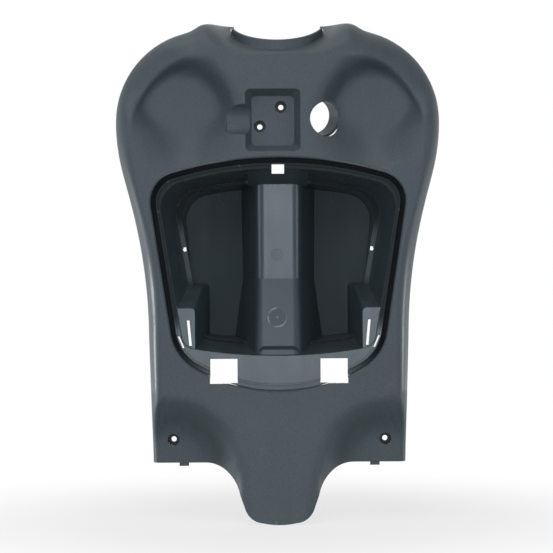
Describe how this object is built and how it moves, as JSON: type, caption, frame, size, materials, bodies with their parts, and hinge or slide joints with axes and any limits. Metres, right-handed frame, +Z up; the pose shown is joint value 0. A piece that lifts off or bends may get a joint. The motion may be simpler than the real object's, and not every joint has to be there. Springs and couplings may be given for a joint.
{
  "type": "scooter inner leg shield panel with glove compartment",
  "caption": "Moulded inner leg shield of a small scooter: knee dishes, hook recess, lock bore, open glove compartment with a column over the frame tube, and a tongue at the foot.",
  "frame": {"origin": "midway between the two lower fixing screws, on the faces their heads sit on", "axes": "+X to the right as seen by the rider, -Y out of the front face towards the rider, +Z up"},
  "size_m": [0.3944, 0.1555, 0.6042],
  "materials": {
    "panel_plastic": "fine matt grain, moulded in dark blue-grey"
  },
  "bodies": {
    "root": {"glove_box_panel": "panel_plastic"}
  },
  "joints": []
}
